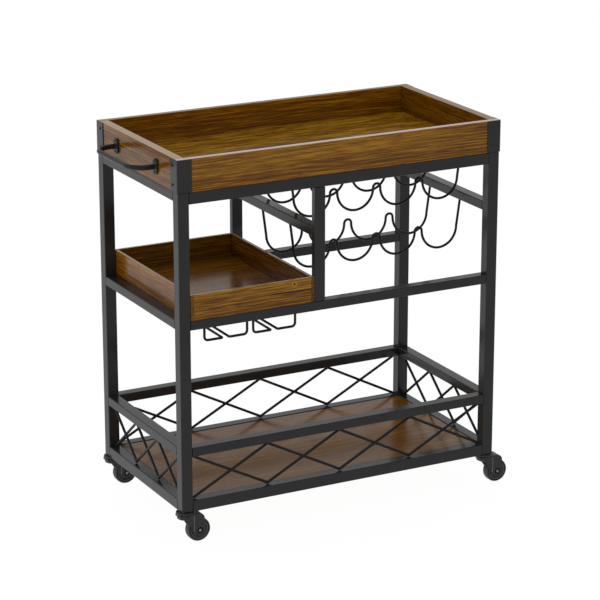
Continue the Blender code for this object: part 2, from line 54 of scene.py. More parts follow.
# ---- sizes that the frame's boxes don't give, metres --------------------------------------------
TUBE_CORNER = 1.8 * MM
TUBE_WALL = 1.2 * MM
TUBE_END_EASE = 0.4 * MM
TUBE_END_INSET = 0.5 * MM  # leaves a fine seam at each joint
CORNER_STEPS = 5

BOARD_EDGE = 0.8 * MM
THIN_BOARD_EDGE = 0.4 * MM  # on the small tray
SMALL_TRAY_WALL = 7.0 * MM
SEAM = 0.2 * MM

WIRE_RADIUS = 2.75 * MM
WINE_CRADLES = 4
WINE_PEAK_RADIUS = 8.75 * MM
WINE_DROP = 63.0 * MM
CRADLE_STEPS = 28
PEAK_STEPS = 14
STEM_SLOT = 15.5 * MM
STEM_DROP = 30.0 * MM
STEM_BENDS = (8.0, 3.0, 6.0, 5.0, 5.0, 6.0, 3.0, 8.0)  # mm, in turn along the wire

ROD_RADIUS = 3.0 * MM
ROD_SIDES = 16
ROD_END_SIZE = 0.7  # radius of an eased end, in rod radii
ROD_END_EASE = 0.3  # length of the easing, in rod radii
LATTICE_END_GAP = 8.0 * MM
LATTICE_BEND = 6.0 * MM
LATTICE_SPREAD = 0.6  # between the middles of the two zigzags, in rod radii
LATTICE_CELLS = {"x": 4, "y": 3}

# half-widths along X, Y and Z, mm
LATTICE_WELDS = {"x": Vector((4.0, 3.1, 2.4)), "y": Vector((3.1, 4.0, 2.4))}
WIRE_WELD = Vector((4.0, 4.0, 1.8))
STEM_BACK_WELD = Vector((5.5, 3.0, 1.6))
STEM_BACK_RISE = 1.2 * MM  # of the back weld over the wire's middle
CROSSING_WELD = 0.9  # size of a crossing's weld against a bend's
WELD_BED = 0.6 * MM  # how deep a weld's middle lies

RUNNER_SHEET = 0.8 * MM
RUNNER_DROP = 9.0 * MM
RUNNER_LEDGE = 7.5 * MM
RUNNER_FOLD = 0.4 * MM
RUNNER_GAP = 0.1 * MM  # beside the rail
RUNNER_SINK = 0.4 * MM  # below the rail's top
RUNNER_END_GAP = 1.0 * MM

BRACKET_SHEET = 1.5 * MM
BRACKET_FLANGE = 33.0 * MM
BRACKET_CORNER = 2.6 * MM
BRACKET_INNER_CORNER = 1.1 * MM
BRACKET_EASE = 0.35 * MM
SCREW_INSET = 21.0 * MM  # from the bracket's corner
SCREW_HEIGHTS = (14.0 * MM, 54.0 * MM)  # below the rim
SCREW_SKIRT = 0.3 * MM  # of the head, sunk below its seat
SCREW_CROWN = 0.25 * MM  # radius of the flat on top
SCREW_CROSS = (0.9, 3.6)  # width and length of a recess, mm
SCREW_CROSS_DEPTH = 1.6  # of the recess's cutter, half of it in the head, mm
SCREW_TURNS = (25, 47)  # degrees: of the first screw, and from each screw to the next

HANDLE_RADIUS = 5.5 * MM
HANDLE_BEND = 36.0 * MM
HANDLE_SPREAD = 196.0 * MM
FOOT_WIDTH = 22.0 * MM
FOOT_HEIGHT = 33.0 * MM
FOOT_THICKNESS = 4.0 * MM
FOOT_SCREW = 11.2 * MM  # from the foot's middle
FOOT_PROFILE = ((0.4, 0.0), (0.0, 0.4), (0.0, 2.4), (0.5, 3.4), (1.4, 4.0))  # (inset, height), mm
OVAL_SLACK = 0.01 * MM  # keeps an oval's neighbouring arcs apart
COLLAR_PROFILE = ((1.6, 0.0), (1.4, 1.0), (0.0, 2.6))  # (wider than the bar, height), mm
COLLAR_SINK = 0.4 * MM
FOOT_SCREW_SINK = 0.1 * MM
BAR_SINK = 1.0 * MM  # from the wall to the bar's end, inside the foot
BAR_DROP = 0.15 * MM  # of the bar below the wall's middle

CUP_THICKNESS = 4.5 * MM
FORK_HALF_WIDTH = 13.0 * MM
FORK_LEG = 2.4 * MM
FORK_BOSS = 11.0 * MM
FORK_EASE = 1.4 * MM
FORK_SLACK = 0.3 * MM  # under the mount
HOOD_BRIM = 17.5 * MM
HOOD_BRIM_ROUND = 1.6 * MM
HOOD_DEPTH = 5.0 * MM
HOOD_ROUND = 13.0 * MM
HOOD_SINK = 0.5 * MM  # below the crown's top
SLOT_TOP = 54.0 * MM
SLOT_BELOW = 5.0 * MM  # how far the slot's cutter starts under the floor
SLOT_LENGTH = 160.0 * MM
CROWN_RADIUS = 18.0 * MM
KINGPIN_RADIUS = 4.0 * MM
KINGPIN_TOP = 88.0 * MM
RIB_FRONT = 14.6 * MM  # this and the next two, from the axle towards the swivel axis
RIB_FOOT = 12.8 * MM
RIB_HEAD = 12.2 * MM
RIB_STEP = 1.0 * MM  # between the foot's corners
RIB_TOP_GAP = 3.0 * MM
RIB_RISE = (-0.8, 0.4)  # from inside the leg to its crest, mm
RIB_EASE = 0.3 * MM
TREAD_FROM = 21.5 * MM  # rubber outside this radius
# The grey ring is a painted highlight on the wheel's side.
RING = (18.2 * MM, 20.1 * MM)  # radii of the wheel's grey ring

# outlines of turned parts, mm: the mount's as (radius, height), one side of the wheel's as (radius, from
# its middle), and the pocket's and its near-black ring's, a painted shade, as (radius, out from the fork
# leg's face)
MOUNT_PROFILE = (
    (4.3, -4.5), (15.0, -4.5), (18.0, -4.1), (19.5, -3.2), (20.2, -1.9), (20.1, -1.0), (19.6, -0.4),
    (18.9, -0.2), (18.3, -0.5), (17.9, -1.1), (17.2, -1.4), (16.3, -1.3), (15.8, -0.8), (15.4, -0.1),
    (14.8, 0.0), (10.5, 0.0), (10.5, 22.5), (9.0, 24.0), (4.3, 24.0),
)
WHEEL_PROFILE = (
    (3.3, 9.5), (6.4, 9.5), (7.0, 9.1), (7.6, 7.6), (8.8, 7.0), (16.4, 7.0), (17.6, 7.8), (18.4, 9.0),
    (19.4, 9.4), (20.0, 9.1), (20.3, 5.0), (21.4, 5.0), (21.6, 8.0), (22.2, 9.2), (23.0, 9.4), (24.2, 8.9),
    (25.5, 7.6), (26.0, 6.1), (26.0, 4.4), (25.7, 4.0), (25.2, 3.9), (25.0, 3.4), (25.2, 2.9),
    (25.7, 2.8), (26.0, 2.4), (26.0, 0.9),
)
POCKET_PROFILE = ((1.0, 0.3), (7.0, 0.3), (6.4, -1.5), (1.0, -1.5))
PAINTED_SHADE_RING_PROFILE = ((3.9, -1.3), (6.7, -1.3), (6.5, -0.9), (5.3, -0.6), (4.1, -0.9))
# the fork's throat, mm: (from the swivel axis towards the axle, down from the hood's top)
FORK_THROAT = ((-12.5, 7.5), (-6.0, 12.0), (1.5, 18.5), (6.5, 25.0), (9.5, 33.0), (11.0, 41.0), (14.0, 48.0))

SIDES = {"left": -1, "right": 1}
ENDS = {"front": -1, "back": 1}
AXES = {
    "x": (Vector((0, 1, 0)), Vector((0, 0, 1)), Vector((1, 0, 0))),
    "y": (Vector((1, 0, 0)), Vector((0, 0, 1)), Vector((0, 1, 0))),
    "z": (Vector((1, 0, 0)), Vector((0, 1, 0)), Vector((0, 0, 1))),
}
BODY_OF = {
    node: body
    for body, nodes in frame["record"]["behaviour"]["bodies"].items()
    for node in nodes
}

# ---- walnut, in the coordinates of the log that the boards are cut from, metres -----------------
LOG_STEP = (2.37, 0.731, 0.413)  # from one seed's place to the next: along, across and through
EVEN_TONE = 0.51  # the middle tone, which an evened-out board keeps
TONE_OFFSET = -1.018  # brings the sum of the noises to the colour ramp
KNOT = (45.126, 13.907, 0.0)  # on the small tray's front board: along the grain, and across
KNOT_CORE = (1.8 * MM, 3.0 * MM)  # radii between which the dark core fades out
KNOT_RING = 4.6 * MM  # radius of the pale ring's middle
KNOT_RING_FADE = (1.0 * MM, 2.2 * MM)  # to either side of it
VEIN = (45.045, 45.080, 13.8915)  # on the same board: where it starts and where it is full, and across
VEIN_FADE = (0.9 * MM, 2.2 * MM)  # to either side of its middle

# A colour factor that leaves a board's walnut colour as it is, with no painted shade or light.
PLAIN = (1.0, 1.0, 1.0)  # the shade of a board that keeps the walnut's own


# ---- materials ----------------------------------------------------------------------------------
class Shading:
    """A material whose node tree is built one node at a time; its Principled shader is there first."""

    def __init__(self, name):
        self.material = bpy.data.materials.new(name)
        self.material.use_nodes = True
        self.tree = self.material.node_tree
        self.shader = self.tree.nodes["Principled BSDF"]

    def feed(self, socket, value):
        if isinstance(value, bpy.types.NodeSocket):
            self.tree.links.new(value, socket)
        else:
            socket.default_value = value

    def add(self, kind, inputs, **settings):
        """Adds a node; an input is given by its name or number, as a value or as another node's output."""
        made = self.tree.nodes.new(f"ShaderNode{kind}")
        for key, value in settings.items():
            setattr(made, key, value)
        for key, value in inputs.items():
            self.feed(made.inputs[key], value)
        return made

    def noise(self, place, stretch, detail=2.0, roughness=0.5):
        """Noise over place, which is first multiplied by stretch along its three directions."""
        scaled = self.add("VectorMath", {0: place, 1: stretch}, operation="MULTIPLY").outputs[0]
        inputs = {"Vector": scaled, "Scale": 1.0, "Detail": detail, "Roughness": roughness}
        return self.add("TexNoise", inputs)

    def math(self, operation, first, second=0.0, third=0.0):
        return self.add("Math", {0: first, 1: second, 2: third}, operation=operation).outputs[0]

    def remap(self, value, from_low, from_high, to_low, to_high):
        inputs = {
            "Value": value,
            "From Min": from_low,
            "From Max": from_high,
            "To Min": to_low,
            "To Max": to_high,
        }
        return self.add("MapRange", inputs).outputs["Result"]

    def ramp(self, value, stops):
        """A colour ramp through (place, colour) stops."""
        made = self.add("ValToRGB", {"Fac": value})
        elements = made.color_ramp.elements
        while len(elements) < len(stops):
            elements.new(0.5)
        for element, (place, colour) in zip(elements, stops):
            element.position = place
            element.color = (*colour, 1.0)
        return made.outputs["Color"]

    def tint(self, blend, factor, first, second):
        """Mixes two colours."""
        inputs = {"Factor": factor, "A": first, "B": second}
        return self.add("Mix", inputs, data_type="RGBA", blend_type=blend).outputs["Result"]

    def bump(self, height, strength, distance):
        inputs = {"Height": height, "Strength": strength, "Distance": distance}
        return self.add("Bump", inputs).outputs["Normal"]

    def place(self):
        return self.add("TexCoord", {}).outputs["Object"]

    def finish(self, **inputs):
        """Sets or links the shader's inputs, named with _ for a space, and returns the material."""
        for key, value in inputs.items():
            self.feed(self.shader.inputs[key.replace("_", " ")], value)
        return self.material


def add_knot_and_vein(look, board, colour):
    """The marks of the small tray's front: a dark knot in a pale ring, and a dark vein along the grain."""
    flat = look.add("VectorMath", {0: board, 1: (1.0, 1.0, 0.0)}, operation="MULTIPLY").outputs[0]
    away = look.add("VectorMath", {0: flat, 1: KNOT}, operation="DISTANCE").outputs["Value"]
    ring = look.math("ABSOLUTE", look.math("SUBTRACT", away, KNOT_RING))
    pale = look.remap(ring, *KNOT_RING_FADE, 0.9, 0.0)
    colour = look.tint("MIX", pale, colour, (0.60, 0.30, 0.020, 1.0))
    core = look.remap(away, *KNOT_CORE, 0.9, 0.0)
    colour = look.tint("MIX", core, colour, (0.05, 0.02, 0.001, 1.0))
    spot = look.add("SeparateXYZ", {0: board}).outputs
    start, full, across = VEIN
    off = look.math("ABSOLUTE", look.math("SUBTRACT", spot["Y"], across))
    near = look.remap(off, *VEIN_FADE, 1.0, 0.0)
    vein = look.math("MULTIPLY", near, look.remap(spot["X"], start, full, 0.0, 1.0))
    return look.tint("MULTIPLY", vein, colour, (0.06, 0.04, 0.03, 1.0))


def walnut_look():
    """Walnut veneer under a satin lacquer. Each board carries four attributes: grain runs along, across
    and through it; a colour factor is partly the board's own tone and partly painted shade or painted
    light for how lit the board is; calm is how far its figure is evened out (below 0 it is brought out);
    and a share of painted highlight, pale pinkish, shows on the faces that look up."""
    look = Shading("walnut")
    board = look.add("Attribute", {}, attribute_name="grain").outputs["Vector"]
    tone_and_painted_shading = look.add("Attribute", {}, attribute_name="tone_and_painted_shading").outputs["Vector"]
    calm = look.add("Attribute", {}, attribute_name="calm").outputs["Fac"]
    painted_rim_highlight = look.add("Attribute", {}, attribute_name="painted_rim_highlight").outputs["Fac"]
    drift = look.noise(board, (1.6, 6.0, 6.0), detail=2.0).outputs["Color"]
    centred = look.add("VectorMath", {0: drift, 1: (0.5, 0.5, 0.5)}, operation="SUBTRACT").outputs[0]
    inputs = {0: centred, 1: (0.0, 0.016, 0.016), 2: board}
    wavy = look.add("VectorMath", inputs, operation="MULTIPLY_ADD").outputs[0]

    fine = look.noise(wavy, (8.0, 560.0, 560.0), detail=2.0, roughness=0.6).outputs["Fac"]
    streaks = look.noise(wavy, (2.6, 190.0, 190.0), detail=3.0, roughness=0.6).outputs["Fac"]
    bands = look.noise(wavy, (0.8, 26.0, 26.0), detail=3.0).outputs["Fac"]
    flecks = look.noise(wavy, (24.0, 600.0, 600.0), detail=1.0).outputs["Fac"]
    tone = look.math("MULTIPLY_ADD", bands, 0.50, TONE_OFFSET)
    tone = look.math("MULTIPLY_ADD", streaks, 0.65, tone)
    tone = look.math("MULTIPLY_ADD", fine, 1.30, tone)
    tone = look.math("MULTIPLY_ADD", flecks, 0.60, tone)
    swing = look.math("SUBTRACT", tone, EVEN_TONE)
    tone = look.math("MULTIPLY_ADD", swing, look.math("SUBTRACT", 1.0, calm), EVEN_TONE)
    colour = look.ramp(tone, [
        (0.22, (0.140, 0.048, 0.0008)),
        (0.38, (0.225, 0.079, 0.0010)),
        (0.51, (0.330, 0.124, 0.0012)),
        (0.64, (0.460, 0.195, 0.0040)),
        (0.82, (0.610, 0.300, 0.0200)),
    ])

    pores = look.noise(wavy, (60.0, 1100.0, 1100.0), detail=1.0).outputs["Fac"]
    pore = look.remap(pores, 0.60, 0.70, 0.0, 1.0)
    colour = look.tint("MULTIPLY", look.math("MULTIPLY", pore, 0.6), colour, (0.30, 0.22, 0.16, 1.0))

    colour = add_knot_and_vein(look, board, colour)
    # Each board's colour factor: partly its own tone, partly painted shade or painted light for how lit it
    # is.
    colour = look.tint("MULTIPLY", 1.0, colour, tone_and_painted_shading)
    # Painted highlight: faces that look up turn pale pinkish, most on the boards that face the light.
    pale = look.ramp(painted_rim_highlight, [
        (0.2, (0.90, 0.58, 0.22)),
        (0.5, (1.0, 0.70, 0.42)),
        (1.0, (1.0, 0.76, 0.64)),
    ])
    colour = look.tint("MIX", painted_rim_highlight, colour, pale)
    relief = look.math("SUBTRACT", look.math("MULTIPLY", streaks, 0.5), pore)
    return look.finish(
        Base_Color=colour,
        Roughness=look.remap(streaks, 0.3, 0.7, 0.22, 0.16),
        IOR=1.45,
        Normal=look.bump(relief, 0.15, 0.12 * MM),
    )


def coat_look(name, dark, light, roughness, ior=1.45, peel=(700.0, 0.2, 0.04), patch=(60.0, 2.0, 0.1)):
    """A coat or moulded skin with a fine orange peel and patches that are a little lighter and rougher.
    Peel gives its frequency, strength and depth in mm; patch, its frequency, detail and extra roughness."""
    look = Shading(name)
    place = look.place()
    peel_often, peel_strength, peel_depth = peel
    patch_often, patch_detail, rougher = patch
    orange_peel = look.noise(place, (peel_often,) * 3, detail=2.0).outputs["Fac"]
    patches = look.noise(place, (patch_often,) * 3, detail=patch_detail).outputs["Fac"]
    return look.finish(
        Base_Color=look.ramp(patches, [(0.3, (dark,) * 3), (0.7, (light,) * 3)]),
        Roughness=look.remap(patches, 0.3, 0.7, roughness, roughness + rougher),
        IOR=ior,
        Normal=look.bump(orange_peel, peel_strength, peel_depth * MM),
    )


def plastic_look():
    """Moulded nylon of the casters, with a fine matt texture."""
    look = Shading("caster_nylon")
    place = look.place()
    grain = look.noise(place, (1500.0, 1500.0, 1500.0), detail=2.0).outputs["Fac"]
    patches = look.noise(place, (90.0, 90.0, 90.0), detail=3.0).outputs["Fac"]
    return look.finish(
        Base_Color=look.ramp(patches, [(0.3, (0.034, 0.034, 0.035)), (0.7, (0.047, 0.047, 0.048))]),
        Roughness=look.remap(grain, 0.3, 0.7, 0.24, 0.34),
        IOR=1.5,
        Normal=look.bump(grain, 0.3, 0.04 * MM),
    )


def rubber_look():
    """Wheel tread, dusted where it rolls."""
    look = Shading("wheel_rubber")
    place = look.place()
    dust = look.noise(place, (160.0, 160.0, 160.0), detail=4.0, roughness=0.65).outputs["Fac"]
    grain = look.noise(place, (2200.0, 2200.0, 2200.0), detail=1.0).outputs["Fac"]
    return look.finish(
        Base_Color=look.ramp(dust, [(0.35, (0.044, 0.044, 0.044)), (0.75, (0.078, 0.077, 0.076))]),
        Roughness=look.remap(dust, 0.3, 0.7, 0.28, 0.42),
        Normal=look.bump(grain, 0.35, 0.05 * MM),
    )


def zinc_look():
    """Plated axle: grey metal with faint turning marks."""
    look = Shading("axle_zinc")
    place = look.place()
    marks = look.noise(place, (2500.0, 200.0, 2500.0), detail=2.0).outputs["Fac"]
    return look.finish(
        Base_Color=look.ramp(marks, [(0.3, (0.30, 0.30, 0.31)), (0.7, (0.42, 0.42, 0.43))]),
        Metallic=1.0,
        Roughness=look.remap(marks, 0.3, 0.7, 0.32, 0.48),
        Normal=look.bump(marks, 0.15, 0.03 * MM),
    )


LOOKS = {
    "walnut": walnut_look(),
    "steel": coat_look(
        "frame_powder_coat", 0.026, 0.034, 0.17, ior=1.5, peel=(900.0, 0.25, 0.06), patch=(14.0, 3.0, 0.08)
    ),
    "rod": coat_look("lattice_black", 0.010, 0.015, 0.40),
    "wire": coat_look("rack_black", 0.006, 0.010, 0.34),
    "handle": coat_look("handle_black", 0.012, 0.018, 0.26, ior=1.42),
    # Grey as a painted highlight: the ribs down the fork legs and the ring on the wheels.
    "painted_highlight_grey": coat_look("grey_painted_highlight", 0.170, 0.230, 0.30),
    # Near black with little reflection, as painted shade: screw heads that face the ends, which read as dark
    # holes, and the rings round the axle heads.
    "screw": coat_look("black_painted_shade", 0.004, 0.008, 0.50, ior=1.2),
    "plastic": plastic_look(),
    "rubber": rubber_look(),
    "zinc": zinc_look(),
}


# ---- mesh helpers -------------------------------------------------------------------------------
def make_object(name, mesh_data, looks, sharp=35.0):
    """Turns a bmesh into a smooth-shaded object; faces keep the number of their look."""
    bmesh.ops.recalc_face_normals(mesh_data, faces=mesh_data.faces[:])
    mesh = bpy.data.meshes.new(name)
    mesh_data.to_mesh(mesh)
    mesh_data.free()
    mesh.shade_smooth()
    mesh.set_sharp_from_angle(angle=math.radians(sharp))
    for look in looks:
        mesh.materials.append(LOOKS[look])
    made = bpy.data.objects.new(name, mesh)
    bpy.context.scene.collection.objects.link(made)
    return made


def even_shading(piece):
    """Keeps flat faces flat in shading beside their small rounded edges."""
    step = piece.modifiers.new("even_shading", "WEIGHTED_NORMAL")
    step.keep_sharp = True
    step.weight = 100
    return piece


def stand_for(piece, node):
    """The piece rides the CAD node's body and is shown in its place."""
    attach(piece, BODY_OF[node])
    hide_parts(node)


def add_to(piece, body):
    """The piece rides a body beside its CAD nodes."""
    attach(piece, body)


def skin(mesh_data, rings, closed=False):
    """Joins rings of points with quads and returns the faces. Closed joins the last ring to the first;
    otherwise both ends are capped."""
    rows = [[mesh_data.verts.new(spot) for spot in ring] for ring in rings]
    count = len(rings[0])
    pairs = list(zip(rows, rows[1:]))
    if closed:
        pairs.append((rows[-1], rows[0]))
    made = []
    for near, far in pairs:
        for i in range(count):
            j = (i + 1) % count
            made.append(mesh_data.faces.new((near[i], near[j], far[j], far[i])))
    if not closed:
        made.append(mesh_data.faces.new(rows[0][::-1]))
        made.append(mesh_data.faces.new(rows[-1]))
    return made


def rounded_rectangle(width, height, radius, steps):
    """Outline round the origin with rounded corners, counter-clockwise."""
    outline = []
    for quarter, (sx, sy) in enumerate(((1, 1), (-1, 1), (-1, -1), (1, -1))):
        cx = sx * (width / 2 - radius)
        cy = sy * (height / 2 - radius)
        for step in range(steps + 1):
            angle = math.radians(90 * (quarter + step / steps))
            outline.append((cx + radius * math.cos(angle), cy + radius * math.sin(angle)))
    return outline


def arc(centre, radius, first, last, steps):
    """Points on an arc in a plane, angles in degrees."""
    spots = []
    for step in range(steps + 1):
        angle = math.radians(first + (last - first) * step / steps)
        spots.append((centre[0] + radius * math.cos(angle), centre[1] + radius * math.sin(angle)))
    return spots


def lift(outline, axis, place, centre):
    """A flat outline as points in space, across an axis and at a place along it."""
    first, second, along = AXES[axis]
    return [centre + first * a + second * b + along * place for a, b in outline]


def turn(mesh_data, profile, centre, axis, segments=48, closed=False):
    """Turns a profile of (radius, place) pairs about an axis through centre, and returns the faces."""
    rings = []
    for radius, place in profile:
        circle = []
        for k in range(segments):
            angle = 2 * math.pi * k / segments
            circle.append((radius * math.cos(angle), radius * math.sin(angle)))
        rings.append(lift(circle, axis, place, centre))
    return skin(mesh_data, rings, closed)


def rounded_path(corners, radii, steps=6):
    """A path through corner points whose bends are arcs of the given radii."""
    path = [Vector(corners[0])]
    for before, corner, after, radius in zip(corners, corners[1:], corners[2:], radii):
        corner = Vector(corner)
        back = (Vector(before) - corner).normalized()
        ahead = (Vector(after) - corner).normalized()
        half = back.angle(ahead) / 2
        centre = corner + (back + ahead).normalized() * (radius / math.sin(half))
        start = corner + back * (radius / math.tan(half)) - centre
        end = corner + ahead * (radius / math.tan(half)) - centre
        sweep = start.angle(end)
        for step in range(steps + 1):
            share = step / steps
            spot = start * math.sin((1 - share) * sweep) + end * math.sin(share * sweep)
            path.append(centre + spot / math.sin(sweep))
    path.append(Vector(corners[-1]))
    return path


def rod(mesh_data, path, radius, sides=ROD_SIDES):
    """A round rod along a path, its ends eased."""
    count = len(path)
    tangents = []
    for i in range(count):
        tangents.append((path[min(i + 1, count - 1)] - path[max(i - 1, 0)]).normalized())
    first, last = tangents[0], tangents[-1]
    stations = [
        (path[0], first, radius * ROD_END_SIZE),
        (path[0] + first * radius * ROD_END_EASE, first, radius),
    ]
    stations += [(path[i], tangents[i], radius) for i in range(1, count - 1)]
    stations += [
        (path[-1] - last * radius * ROD_END_EASE, last, radius),
        (path[-1], last, radius * ROD_END_SIZE),
    ]
    side = first.orthogonal().normalized()
    before = first
    rings = []
    for spot, tangent, size in stations:
        side = before.rotation_difference(tangent) @ side
        side = (side - tangent * side.dot(tangent)).normalized()
        other = tangent.cross(side)
        ring = []
        for k in range(sides):
            angle = 2 * math.pi * k / sides
            ring.append(spot + (side * math.cos(angle) + other * math.sin(angle)) * size)
        rings.append(ring)
        before = tangent
    skin(mesh_data, rings)


def weld_spot(mesh_data, centre, size):
    """A small uneven blob of weld; size is its half-widths along X, Y and Z."""
    made = bmesh.ops.create_icosphere(mesh_data, subdivisions=3, radius=1.0)
    for vert in made["verts"]:
        bulge = 1.0 + 0.16 * noise.noise(vert.co * 1.9 + centre * 400.0)
        vert.co = centre + Vector([a * b for a, b in zip(vert.co * bulge, size)])


def combine(body, tool, operation):
    """Applies an exact Boolean of tool to body and removes the tool."""
    step = body.modifiers.new("combine", "BOOLEAN")
    step.operation = operation
    step.object = tool
    step.solver = "EXACT"
    evaluated = body.evaluated_get(bpy.context.evaluated_depsgraph_get())
    mesh = bpy.data.meshes.new_from_object(evaluated)
    body.modifiers.clear()
    body.data = mesh
    bpy.data.objects.remove(tool, do_unlink=True)


# ---- frame --------------------------------------------------------------------------------------
def make_tube(node, axis):
    """A rectangular tube with rounded edges and open ends, in the place of a CAD tube."""
    low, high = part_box(node)
    first, second, along = AXES[axis]
    centre = (low + high) / 2
    size = high - low
    width = size.dot(first)
    height = size.dot(second)
    half = size.dot(along) / 2 - TUBE_END_INSET
    inner = rounded_rectangle(
        width - 2 * TUBE_WALL, height - 2 * TUBE_WALL, TUBE_CORNER - TUBE_WALL, CORNER_STEPS
    )
    rings = [lift(inner, axis, -half, centre)]
    ease = TUBE_END_EASE
    stations = ((-half, ease), (ease - half, 0), (half - ease, 0), (half, ease))
    for place, inset in stations:
        outer = rounded_rectangle(width - 2 * inset, height - 2 * inset, TUBE_CORNER - inset, CORNER_STEPS)
        rings.append(lift(outer, axis, place, centre))
    rings.append(lift(inner, axis, half, centre))
    mesh_data = bmesh.new()
    skin(mesh_data, rings, closed=True)
    piece = even_shading(make_object(f"{node}_tube", mesh_data, ["steel"], sharp=50.0))
    stand_for(piece, node)


def make_frame():
    for end in ENDS:
        for side in SIDES:
            make_tube(f"post_{end}_{side}", "z")
        for level in ("top", "mid", "guard", "bottom"):
            make_tube(f"{level}_rail_{end}", "x")
        make_tube(f"divider_{end}", "z")
    for side in SIDES:
        for level in ("top", "guard", "bottom"):
            make_tube(f"{level}_rail_{side}", "y")
        make_tube(f"wine_rail_{side}", "y")
    make_tube("mid_rail_left", "y")
    make_tube("top_cross_rail", "y")


def make_lattice(node, axis):
    """Two mirrored zigzag rods with a weld spot at each bend and crossing."""
    low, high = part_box(node)
    post_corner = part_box("post_front_left")[1]  # its inner one
    half = -post_corner["xy".index(axis)] - LATTICE_END_GAP
    cells = LATTICE_CELLS[axis]
    pitch = 2 * half / cells
    levels = (low.z + ROD_RADIUS, high.z - ROD_RADIUS)
    middle = (low + high) / 2
    mesh_data = bmesh.new()

    def spot(along, across, up):
        if axis == "x":
            return Vector((along, middle.y + across, up))
        return Vector((middle.x + across, along, up))

    weld = LATTICE_WELDS[axis]
    for number in range(2):
        across = (number - 0.5) * ROD_RADIUS * LATTICE_SPREAD
        corners = [spot(-half + i * pitch, across, levels[(i + number) % 2]) for i in range(cells + 1)]
        rod(mesh_data, rounded_path(corners, [LATTICE_BEND] * (cells - 1)), ROD_RADIUS)
        for i, corner in enumerate(corners):
            drop = WELD_BED if corner.z < middle.z else -WELD_BED
            weld_spot(mesh_data, corner - Vector((0, 0, drop)), weld * MM)
    for i in range(cells):
        crossing = spot(-half + (i + 0.5) * pitch, 0.0, (levels[0] + levels[1]) / 2)
        weld_spot(mesh_data, crossing, weld * CROSSING_WELD * MM)
    stand_for(make_object(f"{node}_rods", mesh_data, ["rod"]), node)


def make_wine_wire(node, rail):
    """A wire of four cradles that hangs under a pair of rails."""
    low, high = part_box(node)
    rail_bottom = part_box(rail)[0].z
    start = low.x + WIRE_RADIUS
    end = high.x - WIRE_RADIUS
    y = (low.y + high.y) / 2
    pitch = (end - start) / WINE_CRADLES
    radius = pitch / 2 - WINE_PEAK_RADIUS
    middle = rail_bottom - WINE_DROP

    path = [(start, rail_bottom)]
    for cradle in range(WINE_CRADLES):
        centre = start + (cradle + 0.5) * pitch
        path += arc((centre, middle), radius, 180, 360, CRADLE_STEPS)
        if cradle < WINE_CRADLES - 1:
            path += arc((centre + pitch / 2, middle), WINE_PEAK_RADIUS, 180, 0, PEAK_STEPS)[1:-1]
    path.append((end, rail_bottom))
    mesh_data = bmesh.new()
    rod(mesh_data, [Vector((x, y, z)) for x, z in path], WIRE_RADIUS)
    for x in (start, end):
        weld_spot(mesh_data, Vector((x, y, rail_bottom - WELD_BED)), WIRE_WELD * MM)
    stand_for(make_object(f"{node}_bent", mesh_data, ["wire"]), node)


def make_stem_rack(node):
    """One bent wire that holds stem glasses by their feet."""
    low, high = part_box(node)
    rail_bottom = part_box("mid_rail_front")[0].z
    middle = (low.x + high.x) / 2
    outer = (high.x - low.x) / 2 - WIRE_RADIUS
    inner = STEM_SLOT / 2
    front = low.y + WIRE_RADIUS
    back = high.y - WIRE_RADIUS
    down = rail_bottom - STEM_DROP
    back_up = high.z - WIRE_RADIUS
    right_half = [
        (inner, back, back_up),
        (inner, back, down),
        (inner, front, down),
        (outer, front, down),
        (outer, front, rail_bottom),
    ]
    corners = [(middle - x, y, z) for x, y, z in reversed(right_half)]
    corners += [(middle + x, y, z) for x, y, z in right_half]
    mesh_data = bmesh.new()
    rod(mesh_data, rounded_path(corners, [bend * MM for bend in STEM_BENDS]), WIRE_RADIUS)
    for x in (middle - outer, middle + outer):
        weld_spot(mesh_data, Vector((x, front, rail_bottom - WELD_BED)), WIRE_WELD * MM)
    weld_spot(mesh_data, Vector((middle, back, back_up + STEM_BACK_RISE)), STEM_BACK_WELD * MM)
    stand_for(make_object(f"{node}_bent", mesh_data, ["wire"]), node)


def make_racks():
    for end in ENDS:
        make_wine_wire(f"wine_wire_lower_{end}", "wine_rail_left")
        make_wine_wire(f"wine_wire_upper_{end}", "top_cross_rail")
    for side in SIDES:
        make_stem_rack(f"stem_rack_{side}")
    for end in ENDS:
        make_lattice(f"lattice_{end}", "x")
    for side in SIDES:
        make_lattice(f"lattice_{side}", "y")


